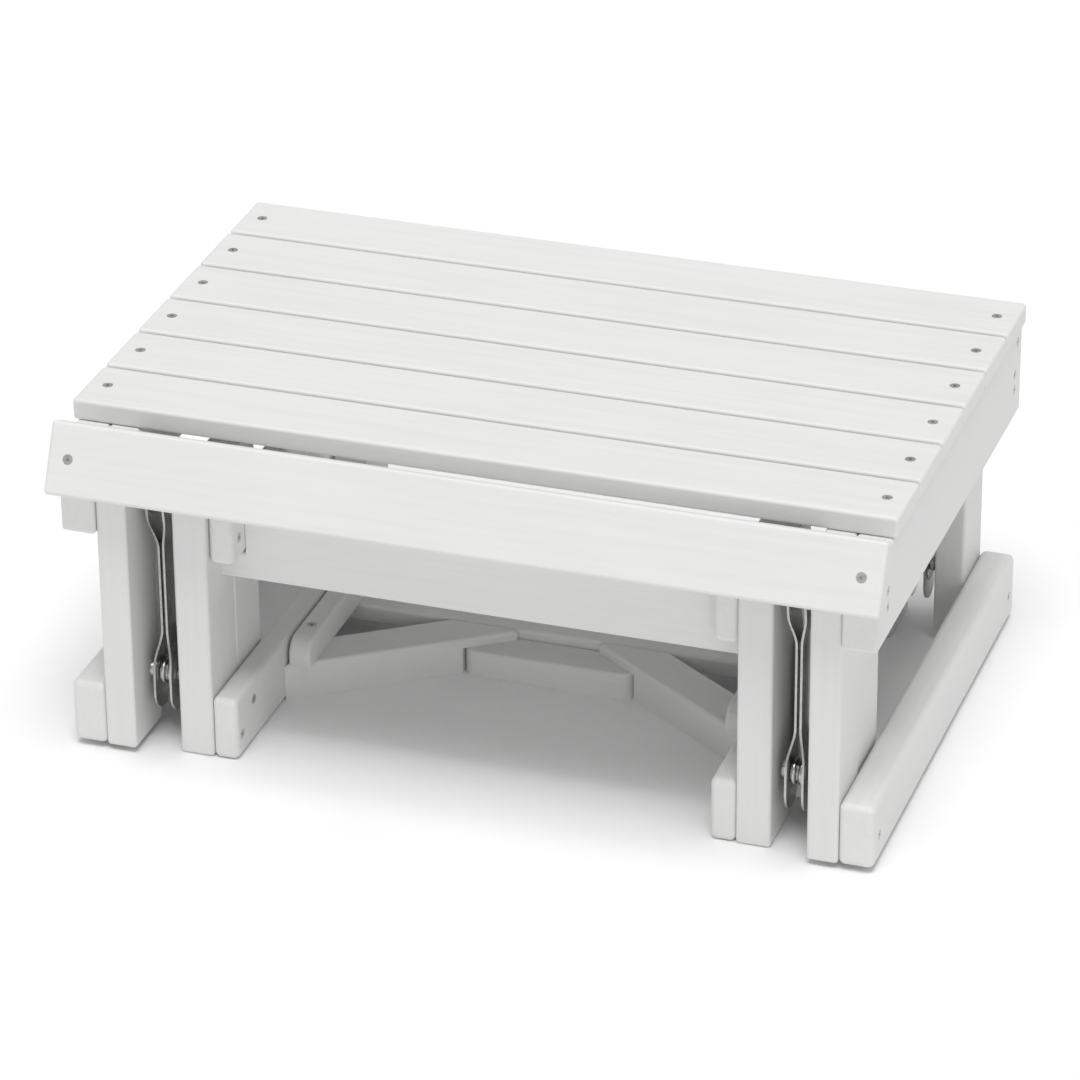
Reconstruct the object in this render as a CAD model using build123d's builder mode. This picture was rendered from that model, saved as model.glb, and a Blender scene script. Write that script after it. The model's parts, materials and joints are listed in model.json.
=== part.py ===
"""Gliding ottoman in rounded plastic lumber.

The slatted seat and its outer frame hang on four swing arms from a fixed inner base.
X runs along the slats, -Y is the front with the sloped apron, and Z is up.
The origin is on the floor, in the middle of the whole object's box.
"""
import os
from math import cos, radians, tan

from build123d import *

os.makedirs("parts", exist_ok=True)

# ---- whole object, mm ----
frame_mid_y = 14.5  # the frames' middle lies behind the origin, because the apron leans forward
seat_top = 391.0
seat_length = 900.0

# ---- lumber ----
edge_radius = 4.0
rail_edge_radius = 7.0
slat_count = 6
slat_width = 85.2
slat_gap = 5.0
slat_thickness = 24.0
slats_rear = 290.0  # from frame_mid_y

# ---- seat frame, which hangs outside the base ----
seat_foot = 6.0  # its clearance above the floor
outer_rail_in = 408.0
outer_rail_out = 446.0
outer_leg_in = 374.0
leg_depth = 76.0
seat_half_depth = 296.0
bottom_rail_height = 73.0
upper_rail_bottom = 262.0
seat_underside = seat_top - slat_thickness
upper_rail_front = 300.0  # ahead of frame_mid_y
batten_height = 25.0
batten_width = 38.0
batten_edge_radius = 3.0

# ---- filler boards behind the front legs ----
backer_recess = 2.0
backer_corner = 22.0
seat_backer_rear = 140.0  # ahead of frame_mid_y, like the other backer and block places
seat_backer_bottom = 62.0
base_backer_rear = 130.0
base_backer_bottom = 24.0
gap_block_front = 211.0
gap_block_rear = 148.0
gap_block_bottom = 28.0
gap_block_top = 215.0
gap_block_corner = 28.0
gap_block_clearance = 6.0  # to the inner legs, which it swings past

# ---- apron: a board that leans forward at its foot ----
apron_length = 906.0
apron_height = 79.0
apron_thickness = 23.0
apron_lean = 25.0
apron_toe_y = -326.3  # front lower edge, from frame_mid_y
apron_toe_z = 317.0
apron_screw_x = 430.0

# ---- base, which stands on the floor inside the seat frame ----
inner_leg_in = 292.0
inner_leg_out = 330.0
inner_rail_in = 264.0
base_half_depth = 277.0
inner_leg_top = 326.0
inner_leg_cut = 32.0  # sloped off the legs' outer upper corners, clear of the apron
inner_upper_rail_bottom = 232.0
inner_upper_rail_top = 295.0
inner_upper_rail_half = 270.0
stretcher_clearance = 0.5  # round the upper rails
stretcher_face = 235.0
stretcher_thickness = 26.0
stretcher_bottom = 200.0
stretcher_top = 312.0

# ---- floor brace ----
brace_height = 42.0
brace_angle = 35.0
brace_width = 51.0
cross_bar_front = 23.0  # from frame_mid_y
cross_bar_width = 64.0
cross_bar_bottom = 20.0
centre_board_height = 31.0
centre_board_half = 99.0
centre_board_depth = 46.0
centre_board_corner = 18.0
diagonal_foot = 135.0  # front of its outer end, ahead of frame_mid_y
diagonal_end = 48.0  # its blunt inner end, from the middle
cleat_height = 31.0
cleat_width = 25.0
cleat_gap = 3.0
cleat_front = 132.0
cleat_corner = 20.0
cleat_screw_front = 90.0  # ahead of frame_mid_y

# ---- swing arms ----
pivot_y = 245.0  # each way from frame_mid_y
pivot_low = 80.0
pivot_high = 288.0
gap_mid_x = (inner_leg_out + outer_leg_in) / 2
bolt_radius = 5.0
plate_thickness = 2.5
plate_gap_half = 8.0
waist_gap_half = 1.5
boss_half_width = 23.0
low_boss_stretch = 20.0  # how far the boss runs on past its pivot before it rounds off
high_boss_stretch = 7.0
flare_half_width = 20.0
flare_start = 12.0  # from the pivots
waist_half_width = 11.0
waist_start = 55.0
bend_start = 17.0
bend_end = 55.0
bearing_radius = 15.0
running_clearance = 0.05
open_pivot_clearance = 0.4
face_clearance = 0.3
bolt_fit = 0.02
bolt_hold = 30.0  # the depth of a bolt's hole in its leg
bolt_end_gap = 1.0
bolt_tail = 3.0  # from a bolt's tip to the leg on the other side of the gap
spacer_radius = 9.0
nut_across_flats = 17.0
nut_thickness = 7.5

# ---- screws ----
screw_radius = 2.4
screw_head_radius = 5.6
screw_head_height = 3.68
screw_sunk = 0.2
screw_length = 58.0
brace_screw_length = 45.0
screw_clearance = 0.05
countersink_radius = 5.85
countersink_angle = 82.0
recess_side = 2.8
recess_depth = 2.2

SIDES = {"left": -1, "right": 1}
ENDS = {"front": -1, "rear": 1}
BACK_TO_FRONT = (Align.CENTER, Align.CENTER, Align.MAX)


def save(name, piece):
    """Label one finished piece and write it."""
    piece.part.label = name
    export_step(piece.part, f"parts/{name}.step")


def facing(x, y, z, direction):
    """A plane at a point whose normal points out of the face that a screw enters."""
    return Plane(origin=(x, y, z), z_dir=direction)


def drill(planes):
    """Countersunk screw holes through the part being built, one for each plane."""
    for plane in planes:
        with Locations(plane):
            CounterSinkHole(
                radius=screw_radius + screw_clearance,
                counter_sink_radius=countersink_radius,
                depth=screw_length,
                counter_sink_angle=countersink_angle,
            )


def follow(planes, start, length=screw_length):
    """The plain part of the screw holes, in a board that the screws go on into."""
    for plane in planes:
        with Locations(plane.offset(-start)):
            Hole(radius=screw_radius + screw_clearance, depth=length + 2 * screw_sunk - start)


def mill(outline, x_span, radius=edge_radius):
    """A board cut to a (y, z) outline, with all its edges rounded."""
    with BuildPart() as piece:
        with BuildSketch(Plane.YZ.offset(x_span[0])):
            with BuildLine():
                Polyline(*outline, close=True)
            make_face()
        extrude(amount=x_span[1] - x_span[0])
        fillet(piece.edges(), radius)
    return piece


def board(x_span, y_span, z_span, radius=edge_radius, screws=()):
    """One straight board with rounded edges, from its lowest and highest X, Y and Z."""
    with BuildPart() as piece:
        with BuildSketch(Plane.XY.offset(z_span[0])):
            with Locations((sum(x_span) / 2, sum(y_span) / 2)):
                Rectangle(x_span[1] - x_span[0], y_span[1] - y_span[0])
        extrude(amount=z_span[1] - z_span[0])
        fillet(piece.edges(), radius)
        drill(screws)
    return piece


def rounded_board(x_span, y_span, z_span, corner, corner_radius):
    """A board with the corner at one (y, z) place rounded off and its upright edges eased."""
    with BuildPart() as piece:
        with BuildSketch(Plane.YZ.offset(x_span[0])):
            with Locations((sum(y_span) / 2, sum(z_span) / 2)):
                Rectangle(y_span[1] - y_span[0], z_span[1] - z_span[0])
        extrude(amount=x_span[1] - x_span[0])
        corner_middle = Vector(sum(x_span) / 2, *corner)
        fillet(piece.edges().filter_by(Axis.X).sort_by_distance(corner_middle)[0], corner_radius)
        fillet(piece.edges().filter_by(Axis.Z), edge_radius)
    return piece


def screw_group(name, groups, length=screw_length):
    """Countersunk screws with a square recess, in one node, each a solid of its own."""
    with BuildPart() as piece:
        for plane in [p for planes in groups for p in planes]:
            with Locations(plane.offset(-screw_sunk)):
                Cone(screw_radius, screw_head_radius, screw_head_height, align=BACK_TO_FRONT)
                Cylinder(screw_radius, length, align=BACK_TO_FRONT)
                Box(recess_side, recess_side, recess_depth, align=BACK_TO_FRONT, mode=Mode.SUBTRACT)
    save(name, piece)


def span(sign, low, high):
    """An X or Y span on one side of the middle, in rising order."""
    return tuple(sorted((sign * low, sign * high)))


def from_mid(low, high):
    """A Y span given from the frames' middle."""
    return (frame_mid_y + low, frame_mid_y + high)


# ======== screws: where each group enters ========
rail_mid_x = (outer_rail_in + outer_rail_out) / 2
slat_pitch = slat_width + slat_gap
slat_centres = [frame_mid_y + slats_rear - slat_width / 2 - slat_pitch * i for i in range(slat_count)]

slat_screws = {
    side: [facing(sign * rail_mid_x, y, seat_top, (0, 0, 1)) for y in slat_centres]
    for side, sign in SIDES.items()
}


def side_screws(face_x, inward, places):
    """Screw planes on the frames' side faces, from places given as (distance from frame_mid_y, height)."""
    turn = -1 if inward else 1
    return {
        (end, side): [facing(s * face_x, frame_mid_y + e * y, z, (turn * s, 0, 0)) for y, z in places]
        for end, e in ENDS.items()
        for side, s in SIDES.items()
    }


outer_foot_screws = side_screws(outer_rail_out, False, [(272, 36)])
outer_top_screws = side_screws(outer_rail_out, False, [(262, 298), (262, 316)])
batten_screws = side_screws(outer_rail_out, False, [(271, 352)])
inner_foot_screws = side_screws(inner_rail_in, True, [(262, 26), (226, 50)])
inner_top_screws = side_screws(inner_rail_in, True, [(250, 258)])

# ======== seat: slats ========
for number, centre_y in enumerate(slat_centres, start=1):
    planes = [slat_screws[side][number - 1] for side in SIDES]
    slat = board(
        (-seat_length / 2, seat_length / 2),
        (centre_y - slat_width / 2, centre_y + slat_width / 2),
        (seat_underside, seat_top),
        screws=planes,
    )
    save(f"slat_{number}", slat)

# ======== seat: apron ========
apron_y = frame_mid_y + apron_toe_y
apron_rise = Vector(0, 1, 0).rotate(Axis.X, 90 - apron_lean)
apron_face = Vector(0, -1, 0).rotate(Axis.X, -apron_lean)
apron_origin = Vector(0, apron_y, apron_toe_z) + apron_rise * (apron_height / 2)
apron_plane = Plane(origin=apron_origin, x_dir=(1, 0, 0), z_dir=apron_face)
apron_screws = {
    side: [Plane(origin=apron_origin + Vector(s * apron_screw_x, 0, 0), x_dir=(1, 0, 0), z_dir=apron_face)]
    for side, s in SIDES.items()
}
with BuildPart() as apron:
    with BuildSketch(apron_plane):
        Rectangle(apron_length, apron_height)
    extrude(amount=-apron_thickness)
    fillet(apron.edges(), edge_radius)
    drill(apron_screws["left"] + apron_screws["right"])
save("apron", apron)


apron_slope = apron_rise.Y / apron_rise.Z
apron_heel = apron_origin - apron_rise * (apron_height / 2) - apron_face * apron_thickness


def apron_rear_y(z):
    """Y of the apron's rear face at a height."""
    return apron_heel.Y + (z - apron_heel.Z) * apron_slope


def front_outline(front_y, rear_y, low_z, high_z):
    """Outline of a front leg or upper rail, cut to a slope behind the apron."""
    slope_start = apron_heel.Z + (front_y - apron_heel.Y) / apron_slope
    return [
        (front_y, low_z),
        (rear_y, low_z),
        (rear_y, high_z),
        (apron_rear_y(high_z), high_z),
        (front_y, slope_start),
    ]


# ======== seat: rails, legs and batten ========
rail_thickness = outer_rail_out - outer_rail_in
batten_bottom = seat_underside - batten_height
leg_front = frame_mid_y - seat_half_depth

for side, sign in SIDES.items():
    rail_x = span(sign, outer_rail_in, outer_rail_out)
    leg_x = span(sign, outer_leg_in, outer_rail_in)
    leg_screws = {end: outer_foot_screws[end, side] + outer_top_screws[end, side] for end in ENDS}

    lower_y = from_mid(-seat_half_depth, seat_half_depth)
    lower_z = (seat_foot, seat_foot + bottom_rail_height)
    feet = outer_foot_screws["front", side] + outer_foot_screws["rear", side]
    save(f"seat_bottom_rail_{side}", board(rail_x, lower_y, lower_z, rail_edge_radius, feet))

    rail_y = from_mid(-upper_rail_front, slats_rear)
    upper_rail = mill(front_outline(*rail_y, upper_rail_bottom, seat_underside), rail_x)
    with upper_rail:
        drill(outer_top_screws["front", side] + outer_top_screws["rear", side] + batten_screws["rear", side])
        follow(slat_screws[side], slat_thickness)
        follow(apron_screws[side], apron_thickness)
    save(f"seat_upper_rail_{side}", upper_rail)

    front_leg = mill(front_outline(leg_front, leg_front + leg_depth, seat_foot, seat_underside), leg_x)
    rear_leg_y = from_mid(slats_rear - leg_depth, slats_rear)
    rear_leg = board(leg_x, rear_leg_y, (seat_foot, batten_bottom))
    for end, leg in (("front", front_leg), ("rear", rear_leg)):
        pivot = facing(sign * outer_leg_in, frame_mid_y + ENDS[end] * pivot_y, pivot_low, (-sign, 0, 0))
        with leg:
            follow(leg_screws[end], rail_thickness)
            with Locations(pivot):
                Hole(radius=bolt_radius + bolt_fit, depth=bolt_hold)
        save(f"seat_leg_{end}_{side}", leg)

    backer_x = span(sign, outer_leg_in, outer_rail_in - backer_recess)
    backer_y = (leg_front + leg_depth, frame_mid_y - seat_backer_rear)
    backer_z = (seat_backer_bottom, seat_underside)
    backer_corner_place = (backer_y[1], backer_z[0])
    backer = rounded_board(backer_x, backer_y, backer_z, backer_corner_place, backer_corner)
    save(f"seat_leg_backer_{side}", backer)

    block_x = span(sign, inner_leg_out + gap_block_clearance, outer_leg_in)
    block_y = from_mid(-gap_block_front, -gap_block_rear)
    block_z = (gap_block_bottom, gap_block_top)
    block = rounded_board(block_x, block_y, block_z, (block_y[0], block_z[1]), gap_block_corner)
    save(f"seat_gap_block_{side}", block)

batten_y = from_mid(slats_rear - batten_width, slats_rear)
batten_z = (batten_bottom, seat_underside)
batten = board((-outer_rail_in, outer_rail_in), batten_y, batten_z, batten_edge_radius)
with batten:
    for side in SIDES:
        follow(batten_screws["rear", side], rail_thickness)
save("seat_rear_batten", batten)

# ======== base ========
base_rail_thickness = inner_leg_in - inner_rail_in

for side, sign in SIDES.items():
    leg_x = span(sign, inner_leg_in, inner_leg_out)
    rail_x = span(sign, inner_rail_in, inner_leg_in)
    feet = inner_foot_screws["front", side] + inner_foot_screws["rear", side]
    tops = inner_top_screws["front", side] + inner_top_screws["rear", side]
    lower_y = from_mid(-base_half_depth, base_half_depth)
    upper_y = from_mid(-inner_upper_rail_half, inner_upper_rail_half)
    upper_z = (inner_upper_rail_bottom, inner_upper_rail_top)
    save(f"base_bottom_rail_{side}", board(rail_x, lower_y, (0, bottom_rail_height), rail_edge_radius, feet))
    save(f"base_upper_rail_{side}", board(rail_x, upper_y, upper_z, rail_edge_radius, tops))

    for end, e in ENDS.items():
        outer_y = frame_mid_y + e * base_half_depth
        inner_y = outer_y - e * leg_depth
        leg_outline = [
            (outer_y, 0),
            (inner_y, 0),
            (inner_y, inner_leg_top),
            (outer_y - e * inner_leg_cut, inner_leg_top),
            (outer_y, inner_leg_top - inner_leg_cut),
        ]
        pivot = facing(sign * inner_leg_out, frame_mid_y + e * pivot_y, pivot_high, (sign, 0, 0))
        leg = mill(leg_outline, leg_x)
        with leg:
            follow(inner_foot_screws[end, side] + inner_top_screws[end, side], base_rail_thickness)
            with Locations(pivot):
                Hole(radius=bolt_radius + bolt_fit, depth=bolt_hold)
        save(f"base_leg_{end}_{side}", leg)

    backer_x = span(sign, inner_leg_in, inner_leg_out - backer_recess)
    backer_y = from_mid(leg_depth - base_half_depth, -base_backer_rear)
    backer_z = (base_backer_bottom, inner_leg_top)
    backer_corner_place = (backer_y[1], backer_z[0])
    backer = rounded_board(backer_x, backer_y, backer_z, backer_corner_place, backer_corner)
    save(f"base_leg_backer_{side}", backer)

shoulder_z = inner_upper_rail_bottom - stretcher_clearance
tongue_x = inner_rail_in - stretcher_clearance
for end, e in ENDS.items():
    with BuildPart() as stretcher:
        with BuildSketch(Plane.XZ.offset(-frame_mid_y - e * stretcher_face)):
            with Locations((0, (stretcher_bottom + stretcher_top) / 2)):
                Rectangle(2 * tongue_x, stretcher_top - stretcher_bottom)
            with Locations((0, (stretcher_bottom + shoulder_z) / 2)):
                Rectangle(2 * inner_leg_in, shoulder_z - stretcher_bottom)
        extrude(amount=e * stretcher_thickness)
        fillet(stretcher.edges().filter_by(Axis.X), edge_radius)
    save(f"base_stretcher_{end}", stretcher)

# ======== floor brace ========
bar_y = from_mid(cross_bar_front, cross_bar_front + cross_bar_width)
cleat_x = inner_rail_in - cleat_gap - cleat_width
cleat_screw_y = {"front": frame_mid_y - cleat_screw_front, "rear": sum(bar_y) / 2}
brace_screws = {
    (end, side): [facing(s * (cleat_x + cleat_width / 2), y, brace_height + cleat_height, (0, 0, 1))]
    for end, y in cleat_screw_y.items()
    for side, s in SIDES.items()
}

cross_bar = board((-inner_rail_in, inner_rail_in), bar_y, (cross_bar_bottom, brace_height))
with cross_bar:
    for side in SIDES:
        follow(brace_screws["rear", side], cleat_height, brace_screw_length)
save("brace_cross_bar", cross_bar)

# the diagonals are lapped over the centre board
with BuildSketch(Plane.XY) as centre_outline:
    with Locations((0, bar_y[0] - centre_board_depth / 2)):
        Rectangle(2 * centre_board_half, centre_board_depth)
with BuildPart() as centre_board:
    extrude(centre_outline.sketch, amount=centre_board_height)
    fillet(centre_board.edges().filter_by(Axis.Z).group_by(Axis.Y)[0], centre_board_corner)
    fillet(centre_board.edges().group_by(Axis.Z)[-1], edge_radius)
save("brace_centre_board", centre_board)

diagonal_slope = tan(radians(brace_angle))
for side, sign in SIDES.items():
    foot_y = frame_mid_y - diagonal_foot
    heel_y = foot_y + brace_width / cos(radians(brace_angle))
    end_y = foot_y + (inner_rail_in - diagonal_end) * diagonal_slope
    diagonal_rear_x = inner_rail_in - (bar_y[0] - heel_y) / diagonal_slope
    outline = [
        (sign * inner_rail_in, foot_y),
        (sign * diagonal_end, end_y),
        (sign * diagonal_end, bar_y[0]),
        (sign * diagonal_rear_x, bar_y[0]),
        (sign * inner_rail_in, heel_y),
    ]
    with BuildPart() as diagonal:
        with BuildSketch(Plane.XY):
            with BuildLine():
                Polyline(*outline, close=True)
            make_face()
        extrude(amount=brace_height)
        fillet(diagonal.edges().group_by(Axis.Z)[-1], edge_radius)
        extrude(centre_outline.sketch, amount=centre_board_height, mode=Mode.SUBTRACT)
        follow(brace_screws["front", side], cleat_height, brace_screw_length)
    save(f"brace_diagonal_{side}", diagonal)

    cleat_y = (frame_mid_y - cleat_front, bar_y[1])
    cleat_z = (brace_height, brace_height + cleat_height)
    cleat_span = span(sign, cleat_x, cleat_x + cleat_width)
    cleat = rounded_board(cleat_span, cleat_y, cleat_z, (cleat_y[0], cleat_z[1]), cleat_corner)
    with cleat:
        drill(brace_screws["front", side] + brace_screws["rear", side])
    save(f"brace_cleat_{side}", cleat)

# ======== swing arms ========
clear_of_plates = 2.0
arm_places = {
    (end, side): (s * gap_mid_x, frame_mid_y + e * pivot_y)
    for end, e in ENDS.items()
    for side, s in SIDES.items()
}
bends = [
    (plate_gap_half, pivot_low - low_boss_stretch - boss_half_width - clear_of_plates),
    (plate_gap_half, pivot_low + bend_start),
    (waist_gap_half, pivot_low + bend_end),
    (waist_gap_half, pivot_high - bend_end),
    (plate_gap_half, pivot_high - bend_start),
    (plate_gap_half, pivot_high + high_boss_stretch + boss_half_width + clear_of_plates),
]
neck = [
    (flare_half_width, pivot_low + flare_start),
    (waist_half_width, pivot_low + waist_start),
    (waist_half_width, pivot_high - waist_start),
    (flare_half_width, pivot_high - flare_start),
]
arm_half_thickness = plate_gap_half + plate_thickness


def arm_plates(x_mid, y_mid):
    """The two pressed plates of one arm, set apart at the bearings and pinched at the waist."""
    neck_outline = [(y_mid - w, z) for w, z in neck] + [(y_mid + w, z) for w, z in reversed(neck)]
    low_end = pivot_low - low_boss_stretch
    high_end = pivot_high + high_boss_stretch
    with BuildPart() as plates:
        for s in SIDES.values():
            inside = [(x_mid + s * x, z) for x, z in bends]
            outside = [(x_mid + s * (x + plate_thickness), z) for x, z in reversed(bends)]
            with BuildSketch(Plane.XZ.offset(-y_mid)):
                with BuildLine():
                    Polyline(*inside, *outside, close=True)
                make_face()
            extrude(amount=boss_half_width + clear_of_plates, both=True)
        with BuildSketch(Plane.YZ.offset(x_mid - arm_half_thickness)):
            for pivot_z, end_z in ((pivot_low, low_end), (pivot_high, high_end)):
                with Locations((y_mid, (pivot_z + end_z) / 2)):
                    Rectangle(2 * boss_half_width, abs(end_z - pivot_z))
                with Locations((y_mid, pivot_z), (y_mid, end_z)):
                    Circle(boss_half_width)
            with BuildLine():
                Polyline(*neck_outline, close=True)
            make_face()
        extrude(amount=2 * arm_half_thickness, mode=Mode.INTERSECT)
        for z in (pivot_low, pivot_high):
            with Locations(facing(x_mid + arm_half_thickness, y_mid, z, (1, 0, 0))):
                Hole(radius=bolt_radius + open_pivot_clearance, depth=2 * arm_half_thickness)
    return plates


def arm_bearings(x_mid, y_mid, low_clearance):
    """The two bearing rings that hold one arm's plates apart."""
    with BuildPart() as bearings:
        for z, clearance in ((pivot_low, low_clearance), (pivot_high, running_clearance)):
            with BuildSketch(Plane.YZ.offset(x_mid - plate_gap_half)):
                with Locations((y_mid, z)):
                    Circle(bearing_radius)
                    Circle(bolt_radius + clearance, mode=Mode.SUBTRACT)
            extrude(amount=2 * plate_gap_half)
    return bearings


for (end, side), (x_mid, y_mid) in arm_places.items():
    carries_seat = (end, side) == ("front", "left")
    low_clearance = running_clearance if carries_seat else open_pivot_clearance
    save(f"swing_arm_{end}_{side}_plates", arm_plates(x_mid, y_mid))
    save(f"swing_arm_{end}_{side}_bearings", arm_bearings(x_mid, y_mid, low_clearance))


# ======== pivot bolts, spacers and nuts ========
def bolt_profile():
    Circle(bolt_radius)


def spacer_profile():
    Circle(spacer_radius)
    Circle(bolt_radius + bolt_fit, mode=Mode.SUBTRACT)


def nut_profile():
    RegularPolygon(nut_across_flats / 2, 6, major_radius=False)
    Circle(bolt_radius + bolt_fit, mode=Mode.SUBTRACT)


def pivot_hardware(level, z, leg_face, far_face):
    """Bolts, spacers and nuts of the four pivots at one height, from the leg that holds them."""
    outward = 1 if far_face > leg_face else -1
    half_arm = outward * (arm_half_thickness + face_clearance)
    nut_face = gap_mid_x + half_arm
    spans = {
        "bolts": (leg_face - outward * (bolt_hold - bolt_end_gap), far_face - outward * bolt_tail),
        "spacers": (leg_face, gap_mid_x - half_arm),
        "nuts": (nut_face, nut_face + outward * nut_thickness),
    }
    profiles = {"bolts": bolt_profile, "spacers": spacer_profile, "nuts": nut_profile}
    for kind, (near, far) in spans.items():
        with BuildPart() as hardware:
            for x_mid, y_mid in arm_places.values():
                low_x, high_x = span(1 if x_mid > 0 else -1, near, far)
                with BuildSketch(Plane.YZ.offset(low_x)):
                    with Locations((y_mid, z)):
                        profiles[kind]()
                extrude(amount=high_x - low_x)
        save(f"{level}_pivot_{kind}", hardware)


pivot_hardware("upper", pivot_high, inner_leg_out, outer_leg_in)
pivot_hardware("lower", pivot_low, outer_leg_in, inner_leg_out)

# ======== screws ========
rear_batten_screws = [batten_screws["rear", side] for side in SIDES]
seat_frame_screws = [*outer_foot_screws.values(), *outer_top_screws.values(), *rear_batten_screws]
screw_group("slat_screws", slat_screws.values())
screw_group("apron_screws", apron_screws.values())
screw_group("seat_frame_screws", seat_frame_screws)
screw_group("base_frame_screws", [*inner_foot_screws.values(), *inner_top_screws.values()])
screw_group("brace_screws", brace_screws.values(), brace_screw_length)
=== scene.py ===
"""Looks of a gliding ottoman in white plastic lumber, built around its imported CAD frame.

The boards and screws are the CAD nodes with procedural materials. The swing arms, their
bearings and the pivot hardware are rebuilt here in more detail, in the same places.
"""
import json
import math

import bmesh
import bpy
from mathutils import Matrix, Vector


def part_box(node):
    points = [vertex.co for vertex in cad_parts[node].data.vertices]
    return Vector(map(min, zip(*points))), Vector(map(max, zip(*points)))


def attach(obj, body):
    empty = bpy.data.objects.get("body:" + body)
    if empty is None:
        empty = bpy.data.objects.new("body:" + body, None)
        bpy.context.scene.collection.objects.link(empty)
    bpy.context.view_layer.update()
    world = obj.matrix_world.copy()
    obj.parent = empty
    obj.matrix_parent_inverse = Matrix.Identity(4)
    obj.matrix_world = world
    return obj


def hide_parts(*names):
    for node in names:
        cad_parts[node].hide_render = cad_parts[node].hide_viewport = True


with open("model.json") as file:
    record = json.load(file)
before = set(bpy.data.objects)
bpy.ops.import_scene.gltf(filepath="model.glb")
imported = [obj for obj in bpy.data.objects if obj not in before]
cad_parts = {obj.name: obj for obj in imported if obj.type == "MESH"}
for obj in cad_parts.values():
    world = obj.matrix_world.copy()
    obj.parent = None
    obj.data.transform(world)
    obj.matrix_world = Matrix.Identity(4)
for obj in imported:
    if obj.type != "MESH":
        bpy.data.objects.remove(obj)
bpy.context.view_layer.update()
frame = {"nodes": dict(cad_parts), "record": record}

MM = 0.001

# ---------------- materials ----------------
# every texture is in object coordinates, which are the shared frame's metres


def new_material(name):
    """An empty node material with its output and one Principled shader."""
    material = bpy.data.materials.new(name)
    material.use_nodes = True
    tree = material.node_tree
    tree.nodes.clear()
    output = tree.nodes.new("ShaderNodeOutputMaterial")
    shader = tree.nodes.new("ShaderNodeBsdfPrincipled")
    tree.links.new(shader.outputs["BSDF"], output.inputs["Surface"])
    return material, tree, shader


def stretched_coordinates(tree, scale, turn_z=0.0):
    """Object coordinates turned about Z, then scaled along each axis."""
    place = tree.nodes.new("ShaderNodeTexCoord")
    turn = tree.nodes.new("ShaderNodeMapping")
    turn.inputs["Rotation"].default_value = (0.0, 0.0, turn_z)
    stretch = tree.nodes.new("ShaderNodeMapping")
    stretch.inputs["Scale"].default_value = scale
    tree.links.new(place.outputs["Object"], turn.inputs["Vector"])
    tree.links.new(turn.outputs["Vector"], stretch.inputs["Vector"])
    return stretch.outputs["Vector"]


def noise(tree, vector, scale, detail, roughness=0.5):
    """A noise texture's value."""
    texture = tree.nodes.new("ShaderNodeTexNoise")
    texture.inputs["Scale"].default_value = scale
    texture.inputs["Detail"].default_value = detail
    texture.inputs["Roughness"].default_value = roughness
    tree.links.new(vector, texture.inputs["Vector"])
    return texture.outputs["Fac"]


def ramp(tree, value, stops):
    """A colour ramp over (position, colour) stops."""
    node = tree.nodes.new("ShaderNodeValToRGB")
    elements = node.color_ramp.elements
    elements[0].position, elements[0].color = stops[0][0], (*stops[0][1], 1.0)
    elements[1].position, elements[1].color = stops[-1][0], (*stops[-1][1], 1.0)
    for position, colour in stops[1:-1]:
        elements.new(position).color = (*colour, 1.0)
    tree.links.new(value, node.inputs["Fac"])
    return node.outputs["Color"]


def spread(tree, value, low, high):
    """The middle stretch of a noise value, where most of it lies, mapped onto low to high."""
    node = tree.nodes.new("ShaderNodeMapRange")
    node.inputs["From Min"].default_value = 0.3
    node.inputs["From Max"].default_value = 0.7
    node.inputs["To Min"].default_value = low
    node.inputs["To Max"].default_value = high
    tree.links.new(value, node.inputs["Value"])
    return node.outputs["Result"]


def mixed(tree, factor, first, second):
    """Two colours mixed by a value."""
    node = tree.nodes.new("ShaderNodeMix")
    node.data_type = "RGBA"
    tree.links.new(factor, node.inputs["Factor"])
    tree.links.new(first, node.inputs["A"])
    tree.links.new(second, node.inputs["B"])
    return node.outputs["Result"]


def bumped(tree, shader, layers):
    """Stack bump layers of (height value, strength, distance in metres) onto a shader."""
    normal = None
    for height, strength, distance in layers:
        bump = tree.nodes.new("ShaderNodeBump")
        bump.inputs["Strength"].default_value = strength
        bump.inputs["Distance"].default_value = distance
        tree.links.new(height, bump.inputs["Height"])
        if normal is not None:
            tree.links.new(normal, bump.inputs["Normal"])
        normal = bump.outputs["Normal"]
    tree.links.new(normal, shader.inputs["Normal"])


GRAIN_LONG = 5.0  # cycles per metre along a board
GRAIN_CROSS = 150.0  # and across it
SCRATCH_SCALE = (900.0, 900.0, 60.0)


def lumber_material(name, direction, turn_z=0.0):
    """White extruded plastic lumber: a fine embossed grain, faint streaks and soft gloss patches."""
    material, tree, shader = new_material(name)
    grain_scale = [GRAIN_CROSS] * 3
    grain_scale["XYZ".index(direction)] = GRAIN_LONG
    along = stretched_coordinates(tree, grain_scale, turn_z)
    even = stretched_coordinates(tree, (1.0, 1.0, 1.0))
    grain = noise(tree, along, 1.0, 3.0, 0.6)
    fine_grain = noise(tree, along, 4.5, 2.0, 0.55)
    cloud = noise(tree, even, 7.0, 2.0)
    speck = noise(tree, even, 900.0, 1.0)
    pale = ramp(tree, cloud, [(0.3, (0.73, 0.73, 0.722)), (0.7, (0.755, 0.755, 0.75))])
    streak = ramp(tree, grain, [(0.35, (0.72, 0.72, 0.71)), (0.6, (0.755, 0.755, 0.75))])
    tree.links.new(mixed(tree, fine_grain, pale, streak), shader.inputs["Base Color"])
    tree.links.new(spread(tree, grain, 0.42, 0.58), shader.inputs["Roughness"])
    shader.inputs["IOR"].default_value = 1.5
    shader.inputs["Specular IOR Level"].default_value = 0.4
    bumped(tree, shader, [(grain, 0.18, 0.0005), (fine_grain, 0.15, 0.0002), (speck, 0.1, 0.0001)])
    return material


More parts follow.
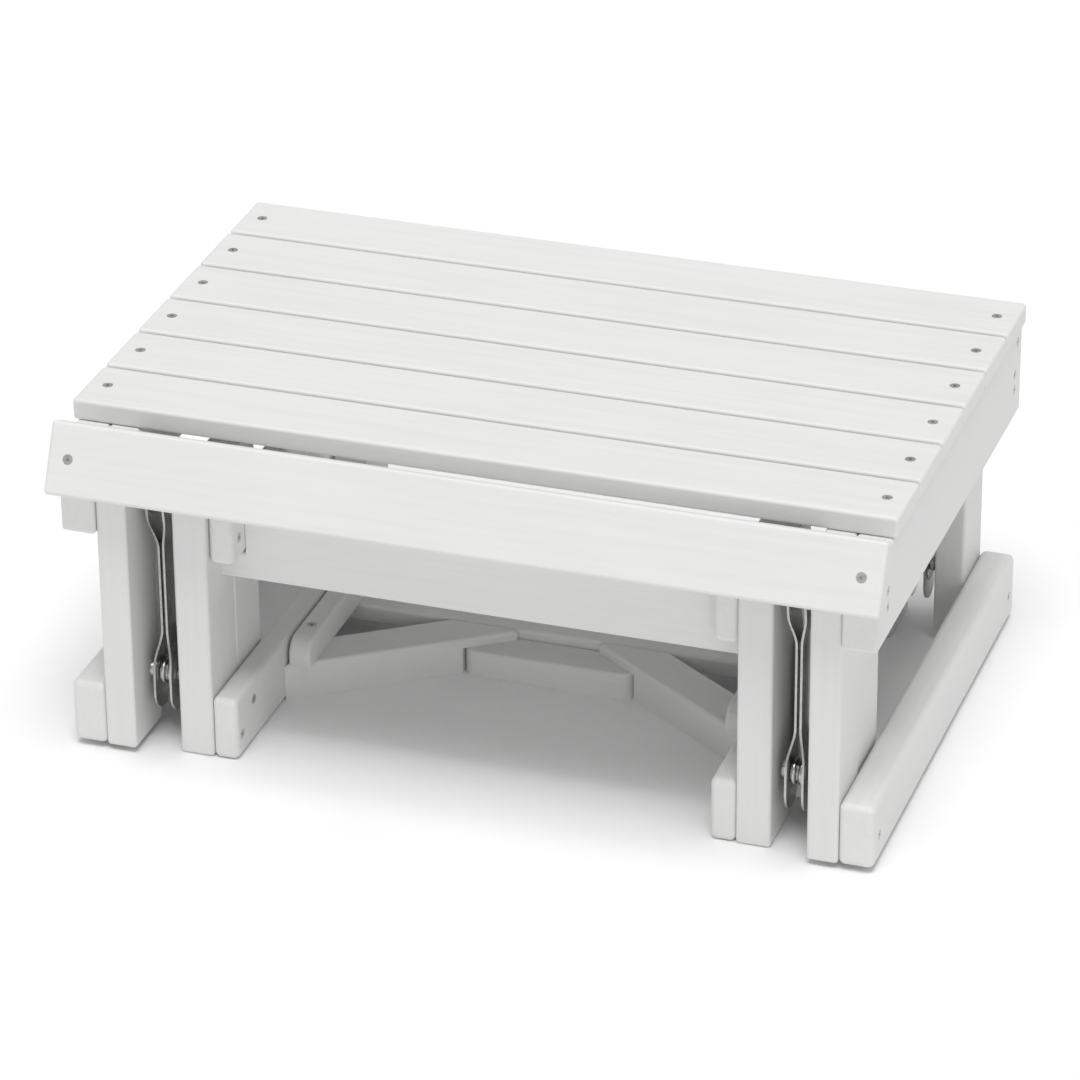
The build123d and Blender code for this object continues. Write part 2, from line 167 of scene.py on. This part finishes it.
def zinc_material(name, dark, light, rough_low, rough_high):
    """Zinc plated steel: cloudy spangle, faint stains, fine scratches and a rolled texture."""
    material, tree, shader = new_material(name)
    even = stretched_coordinates(tree, (1.0, 1.0, 1.0))
    rolled = stretched_coordinates(tree, SCRATCH_SCALE)
    cloud = noise(tree, even, 60.0, 3.0, 0.6)
    spangle = noise(tree, even, 420.0, 2.0)
    scratch = noise(tree, rolled, 1.0, 2.0, 0.6)
    base = ramp(tree, cloud, [(0.3, dark), (0.68, light)])
    dull = ramp(tree, spangle, [(0.35, dark), (0.75, light)])
    tree.links.new(mixed(tree, scratch, base, dull), shader.inputs["Base Color"])
    tree.links.new(spread(tree, cloud, rough_low, rough_high), shader.inputs["Roughness"])
    shader.inputs["Metallic"].default_value = 1.0
    bumped(tree, shader, [(scratch, 0.12, 0.0002), (spangle, 0.1, 0.0001)])
    return material


BRACE_ANGLE = math.radians(35.0)  # between a brace diagonal and X
lumber = {
    "X": lumber_material("lumber_along_x", "X"),
    "Y": lumber_material("lumber_along_y", "Y"),
    "Z": lumber_material("lumber_along_z", "Z"),
    "diagonal_left": lumber_material("lumber_diagonal_left", "X", -BRACE_ANGLE),
    "diagonal_right": lumber_material("lumber_diagonal_right", "X", BRACE_ANGLE),
}
arm_steel = zinc_material("arm_zinc", (0.40, 0.40, 0.39), (0.64, 0.64, 0.63), 0.26, 0.42)
bearing_steel = zinc_material("bearing_steel", (0.36, 0.36, 0.355), (0.62, 0.62, 0.61), 0.2, 0.34)
hardware_steel = zinc_material("pivot_zinc", (0.38, 0.38, 0.37), (0.66, 0.66, 0.64), 0.25, 0.42)
screw_steel = zinc_material("screw_zinc", (0.46, 0.46, 0.45), (0.66, 0.66, 0.65), 0.42, 0.58)


def grain_of(node):
    """Which way a board's grain runs: along its longest side, and along itself for a diagonal."""
    if node.startswith("brace_diagonal"):
        return node.replace("brace_", "")
    low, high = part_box(node)
    size = high - low
    return "XYZ"[max(range(3), key=lambda axis: size[axis])]


slot_of = {part["node"]: part["material_slot"] for part in frame["record"]["subparts"]}
for node, piece in frame["nodes"].items():
    slot = slot_of[node]
    piece.data.materials.clear()
    if slot == "lumber":
        piece.data.materials.append(lumber[grain_of(node)])
    elif slot == "screws":
        piece.data.materials.append(screw_steel)
    else:
        piece.data.materials.append(arm_steel)  # these nodes are replaced below

# ---------------- detailed pieces ----------------


BEVEL_FROM = math.radians(50.0)
SHARP_FROM = math.radians(40.0)


def bevel_edges(piece, width):
    """Round a piece's sharp edges."""
    edges = piece.modifiers.new("edges", "BEVEL")
    edges.width = width
    edges.segments = 2
    edges.limit_method = "ANGLE"
    edges.angle_limit = BEVEL_FROM


def add_piece(name, mesh_builder, material, body, nodes, bevel=0.0):
    """Make one smooth-shaded piece, ride it on its body and let it stand for CAD nodes."""
    mesh = bpy.data.meshes.new(name)
    shape = bmesh.new()
    mesh_builder(shape)
    bmesh.ops.recalc_face_normals(shape, faces=shape.faces)
    shape.to_mesh(mesh)
    shape.free()
    mesh.materials.append(material)
    for face in mesh.polygons:
        face.use_smooth = True
    piece = bpy.data.objects.new(name, mesh)
    bpy.context.scene.collection.objects.link(piece)
    if bevel:
        bevel_edges(piece, bevel)
    mesh.set_sharp_from_angle(angle=SHARP_FROM)
    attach(piece, body)
    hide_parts(*nodes)
    return piece


def add_turned(shape, centre, profile, radius_at=None, segments=64):
    """Add a closed turned ring about X, from (x, radius) points that go round its section."""
    rings = []
    for x, radius in profile:
        ring = []
        for i in range(segments):
            angle = 2 * math.pi * i / segments
            r = radius_at(angle, radius) if radius_at else radius
            ring.append(shape.verts.new(centre + Vector((x, r * math.cos(angle), r * math.sin(angle)))))
        rings.append(ring)
    for a, b in zip(rings, rings[1:] + rings[:1]):
        for i in range(segments):
            j = (i + 1) % segments
            shape.faces.new((a[i], a[j], b[j], b[i]))


def ease(t):
    """Smooth step from 0 to 1."""
    t = min(max(t, 0.0), 1.0)
    return t * t * (3 - 2 * t)


ENDS = ("front", "rear")
SIDES = ("left", "right")
BEARING_RADIUS = 15 * MM
BEARING_BEVEL = 0.3 * MM
BOLT_RADIUS = 5 * MM
BOLT_HOLE = 5.4 * MM
HARDWARE_BORE = 5.05 * MM
HARDWARE_BEVEL = 0.15 * MM
SPACER_RADIUS = 9 * MM
NUT_HALF = 8.5 * MM
PLATE = 2.5 * MM
PLATE_BEVEL = 0.5 * MM
BOSS_HALF = 23 * MM
WAIST_HALF = 11 * MM
NARROW_START = 4 * MM  # from a pivot to where the plate begins to narrow
NARROW_LENGTH = 52 * MM
BOSS_GAP = 8 * MM  # from the arm's middle to a plate, at a pivot
WAIST_GAP = 1.5 * MM
BEND_START = 15.5 * MM
BEND_LENGTH = 40 * MM
BEAD_HEIGHT = 0.9 * MM
BEAD_RADIUS = 18 * MM
BEAD_WIDTH = 1.6 * MM
RIB_HEIGHT = 1.1 * MM
RIB_WIDTH = 4.5 * MM
RIB_START = 50 * MM
RIB_EASE = 14 * MM
LOW_RUN_ON = 20 * MM  # how far a plate runs on past its pivot before it rounds off
HIGH_RUN_ON = 7 * MM
DRILL_LENGTH = 60 * MM


def arm_facts(end, side):
    """An arm's middle and its two pivot heights, from the CAD nodes."""
    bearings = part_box(f"swing_arm_{end}_{side}_bearings")
    centre = (bearings[0] + bearings[1]) / 2
    return centre.x, centre.y, bearings[0].z + BEARING_RADIUS, bearings[1].z - BEARING_RADIUS


def arm_width(z, low, high):
    """Half the width of a plate at a height between the two pivots."""
    near = min(z - low, high - z)
    return BOSS_HALF + (WAIST_HALF - BOSS_HALF) * ease((near - NARROW_START) / NARROW_LENGTH)


def arm_spread(z, low, high):
    """From the arm's middle to a plate's inner face at a height."""
    near = min(z - low, high - z)
    return BOSS_GAP + (WAIST_GAP - BOSS_GAP) * ease((near - BEND_START) / BEND_LENGTH)


def pressed_height(y, z, low, high):
    """How far a plate is pressed outwards: a bead round each bearing and a rib down the waist."""
    height = 0.0
    for pivot in (low, high):
        radius = math.hypot(y, z - pivot)
        height += BEAD_HEIGHT * math.exp(-(((radius - BEAD_RADIUS) / BEAD_WIDTH) ** 2))
    waist = ease((min(z - low, high - z) - RIB_START) / RIB_EASE)
    return height + RIB_HEIGHT * waist * math.exp(-((y / RIB_WIDTH) ** 2))


def plate_rows(low, high):
    """(height, half width) of a plate's rows, from its rounded lower end to its upper end."""
    round_steps, low_steps, between_steps, high_steps = 12, 10, 130, 4
    quarter = [math.pi / 2 * i / round_steps for i in range(1, round_steps + 1)]
    low_end, high_end = low - LOW_RUN_ON, high + HIGH_RUN_ON
    rows = [(low_end - BOSS_HALF * math.cos(a), BOSS_HALF * math.sin(a)) for a in quarter]
    rows += [(low_end + LOW_RUN_ON * i / low_steps, BOSS_HALF) for i in range(1, low_steps)]
    rows += [(low + (high - low) * i / between_steps, None) for i in range(between_steps + 1)]
    rows += [(high + HIGH_RUN_ON * i / high_steps, BOSS_HALF) for i in range(1, high_steps)]
    rows += [(high_end + BOSS_HALF * math.cos(a), BOSS_HALF * math.sin(a)) for a in reversed(quarter)]
    return [(z, arm_width(z, low, high) if w is None else w) for z, w in rows]


def add_plate(shape, x_mid, y_mid, low, high, outward):
    """Add one pressed plate as two skins joined round their edge."""
    columns = 24
    skins = []
    rows = plate_rows(low, high)
    for thickness in (0.0, PLATE):
        skin = []
        for z, half in rows:
            line = []
            for i in range(columns + 1):
                y = half * (2 * i / columns - 1)
                x = arm_spread(z, low, high) + pressed_height(y, z, low, high) + thickness
                line.append(shape.verts.new((x_mid + outward * x, y_mid + y, z)))
            skin.append(line)
        skins.append(skin)
    for skin in skins:
        for a, b in zip(skin, skin[1:]):
            for i in range(columns):
                shape.faces.new((a[i], a[i + 1], b[i + 1], b[i]))
    inner, outer = skins
    for a, b, c, d in zip(inner, inner[1:], outer, outer[1:]):
        shape.faces.new((a[0], b[0], d[0], c[0]))
        shape.faces.new((a[-1], b[-1], d[-1], c[-1]))
    for row in (0, -1):
        for i in range(columns):
            shape.faces.new((inner[row][i], inner[row][i + 1], outer[row][i + 1], outer[row][i]))


def drill_plates(piece, x_mid, y_mid, heights):
    """Cut the bolt holes through an arm's plates."""
    for z in heights:
        bpy.ops.mesh.primitive_cylinder_add(
            vertices=48,
            radius=BOLT_HOLE,
            depth=DRILL_LENGTH,
            location=(x_mid, y_mid, z),
            rotation=(0, math.pi / 2, 0),
        )
        drill = bpy.context.object
        cut = piece.modifiers.new("cut", "BOOLEAN")
        cut.operation = "DIFFERENCE"
        cut.object = drill
        with bpy.context.temp_override(object=piece, active_object=piece):
            bpy.ops.object.modifier_apply(modifier=cut.name)
        bpy.data.objects.remove(drill)


def arm_piece(end, side):
    """One arm's two pressed plates."""
    x_mid, y_mid, low, high = arm_facts(end, side)

    def build(shape):
        for outward in (-1, 1):
            add_plate(shape, x_mid, y_mid, low, high, outward)

    node = f"swing_arm_{end}_{side}_plates"
    piece = add_piece(
        f"arm_plates_{end}_{side}", build, arm_steel, f"arm_{end}_{side}", [node]
    )
    drill_plates(piece, x_mid, y_mid, (low, high))
    bevel_edges(piece, PLATE_BEVEL)


def bearing_section(half, bore):
    """Section of a pair of rounded rollers on one bush, going round from its bore."""
    outer = BEARING_RADIUS
    shoulder = outer - 0.2 * MM
    lip = outer - 1.2 * MM
    bush = 8 * MM
    hub = 8.6 * MM
    groove = 11.5 * MM
    left = [
        (-half, bore),
        (-half, bush),
        (-half + 0.5 * MM, hub),
        (-half + 0.5 * MM, outer - 2.4 * MM),
        (-half + 0.8 * MM, lip),
        (-half + 1.8 * MM, shoulder),
        (-half + 3.6 * MM, outer),
        (-2.6 * MM, shoulder),
        (-1.4 * MM, lip),
        (-0.9 * MM, groove),
    ]
    return left + [(-x, radius) for x, radius in reversed(left)]


def bearing_piece(end, side):
    """One arm's two bearings."""
    x_mid, y_mid, low, high = arm_facts(end, side)
    node = f"swing_arm_{end}_{side}_bearings"
    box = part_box(node)
    half = (box[1].x - box[0].x) / 2

    def build(shape):
        for z in (low, high):
            add_turned(shape, Vector((x_mid, y_mid, z)), bearing_section(half, BOLT_HOLE))

    name = f"arm_bearings_{end}_{side}"
    add_piece(name, build, bearing_steel, f"arm_{end}_{side}", [node], BEARING_BEVEL)


def bolt_section(near, far):
    """Section of a bolt from its buried end to its free end, whose last stretch is threaded."""
    step = 1 if far > near else -1
    pitch = 1.5 * MM
    threads = 9
    thread_depth = 0.7 * MM
    point_length = 1.2 * MM
    point_radius = BOLT_RADIUS - 1.1 * MM
    core = 0.4 * MM  # a ring can't close to a point, so a fine hole is left along the axis
    start = far - step * (threads * pitch + point_length)
    section = [(near, core), (near, BOLT_RADIUS), (start, BOLT_RADIUS)]
    for i in range(threads):
        section.append((start + step * (i + 0.5) * pitch, BOLT_RADIUS - thread_depth))
        section.append((start + step * (i + 1) * pitch, BOLT_RADIUS))
    section += [(far, point_radius), (far, core)]
    return section


def spacer_section(near, far):
    """Section of a spacer with turned ends and a shallow groove round its middle."""
    mid = (near + far) / 2
    chamfer = 0.8 * MM
    turn = chamfer if far > near else -chamfer
    return [
        (near, HARDWARE_BORE),
        (near, SPACER_RADIUS - chamfer),
        (near + turn, SPACER_RADIUS),
        (mid - turn, SPACER_RADIUS),
        (mid, SPACER_RADIUS - 0.6 * MM),
        (mid + turn, SPACER_RADIUS),
        (far - turn, SPACER_RADIUS),
        (far, SPACER_RADIUS - chamfer),
        (far, HARDWARE_BORE),
    ]


def nut_radius(angle, limit):
    """Radius of a hexagon at an angle, cut back to the chamfer's cone."""
    turn = (angle + math.pi / 6) % (math.pi / 3) - math.pi / 6
    return min(NUT_HALF / math.cos(turn), limit)


def nut_section(near, far):
    """Limits of a nut's radius along its length; its bore is in the first and last."""
    step = 1 if far > near else -1
    corner = 9.9 * MM
    rim = NUT_HALF - 0.3 * MM
    shoulder = NUT_HALF + 0.4 * MM
    return [
        (near, HARDWARE_BORE),
        (near, rim),
        (near + step * 0.4 * MM, shoulder),
        (near + step * 0.9 * MM, corner),
        (far - step * 0.9 * MM, corner),
        (far - step * 0.4 * MM, shoulder),
        (far, rim),
        (far, HARDWARE_BORE),
    ]


def inner_reach(node):
    """The nearest X of a node's right-hand solids to the middle."""
    return min(v.co.x for v in frame["nodes"][node].data.vertices if v.co.x > 0)


def hardware_piece(level, kind, body, make_section, radius_at=None):
    """All four bolts, spacers or nuts of the pivots at one height."""
    node = f"{level}_pivot_{kind}"
    inner_x, outer_x = inner_reach(node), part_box(node)[1].x
    near, far = (inner_x, outer_x) if level == "upper" else (outer_x, inner_x)

    def build(shape):
        for end in ENDS:
            for side in SIDES:
                x_mid, y_mid, low, high = arm_facts(end, side)
                sign = 1 if x_mid > 0 else -1
                z = high if level == "upper" else low
                section = make_section(sign * near, sign * far)
                add_turned(shape, Vector((0, y_mid, z)), section, radius_at)

    name = f"pivot_{kind}_{level}"
    add_piece(name, build, hardware_steel, body, [node], HARDWARE_BEVEL)


for end in ENDS:
    for side in SIDES:
        arm_piece(end, side)
        bearing_piece(end, side)
for level, body in (("upper", "base"), ("lower", "seat")):
    hardware_piece(level, "bolts", body, bolt_section)
    hardware_piece(level, "spacers", body, spacer_section)
    hardware_piece(level, "nuts", body, nut_section, nut_radius)

# ---------------- floor, light and camera ----------------


FLOOR_REACH = 25.0


def floor_piece():
    """A wide pale floor with a faint mottle."""
    material, tree, shader = new_material("pale_floor")
    even = stretched_coordinates(tree, (1.0, 1.0, 1.0))
    mottle = noise(tree, even, 3.0, 3.0)
    pale = ramp(tree, mottle, [(0.3, (0.90, 0.90, 0.90)), (0.7, (0.93, 0.93, 0.93))])
    tree.links.new(pale, shader.inputs["Base Color"])
    tree.links.new(spread(tree, mottle, 0.75, 0.85), shader.inputs["Roughness"])
    shader.inputs["Specular IOR Level"].default_value = 0.1
    mesh = bpy.data.meshes.new("floor")
    corners = [(x * FLOOR_REACH, y * FLOOR_REACH, 0) for x, y in ((-1, -1), (1, -1), (1, 1), (-1, 1))]
    mesh.from_pydata(corners, [], [(0, 1, 2, 3)])
    mesh.materials.append(material)
    floor = bpy.data.objects.new("floor", mesh)
    bpy.context.scene.collection.objects.link(floor)


def soft_sun(name, azimuth, elevation, spread_angle, strength):
    """A broad, even light from one direction; the azimuth turns from the front towards the right."""
    light = bpy.data.lights.new(name, "SUN")
    light.angle = math.radians(spread_angle)
    light.energy = strength
    lamp = bpy.data.objects.new(name, light)
    lamp.rotation_euler = (math.radians(90 - elevation), 0, math.radians(azimuth))
    bpy.context.scene.collection.objects.link(lamp)


def studio_world(strength):
    """Even white light from all round."""
    world = bpy.data.worlds.new("studio")
    world.use_nodes = True
    sky = world.node_tree.nodes["Background"]
    sky.inputs["Color"].default_value = (1.0, 1.0, 1.0, 1.0)
    sky.inputs["Strength"].default_value = strength
    bpy.context.scene.world = world


CAMERA_AZIMUTH = math.radians(18.82)
CAMERA_ELEVATION = math.radians(27.69)
CAMERA_ROLL = math.radians(-0.5)
CAMERA_TARGET = Vector((-0.0094, 0.0, 0.1777))
CAMERA_DISTANCE = 5.746
SENSOR = 36.0
FOCAL_TO_WIDTH = 4.903


def place_camera():
    """The scene's camera, aimed at the target from its azimuth and elevation."""
    back = Vector(
        (
            math.sin(CAMERA_AZIMUTH) * math.cos(CAMERA_ELEVATION),
            -math.cos(CAMERA_AZIMUTH) * math.cos(CAMERA_ELEVATION),
            math.sin(CAMERA_ELEVATION),
        )
    )
    level_right = Vector((0, 0, 1)).cross(back).normalized()
    level_up = back.cross(level_right)
    right = level_right * math.cos(CAMERA_ROLL) + level_up * math.sin(CAMERA_ROLL)
    up = -level_right * math.sin(CAMERA_ROLL) + level_up * math.cos(CAMERA_ROLL)
    lens = bpy.data.cameras.new("camera")
    lens.sensor_width = SENSOR
    lens.lens = SENSOR * FOCAL_TO_WIDTH
    camera = bpy.data.objects.new("camera", lens)
    turn = Matrix((right, up, back)).transposed().to_4x4()
    camera.matrix_world = Matrix.Translation(CAMERA_TARGET + back * CAMERA_DISTANCE) @ turn
    bpy.context.scene.collection.objects.link(camera)
    bpy.context.scene.camera = camera


floor_piece()
studio_world(0.48)
soft_sun("key", azimuth=20.0, elevation=77.0, spread_angle=34.0, strength=2.05)
soft_sun("side", azimuth=30.0, elevation=14.0, spread_angle=24.0, strength=0.25)
place_camera()
bpy.context.scene.view_settings.view_transform = "Standard"

bpy.context.view_layer.update()
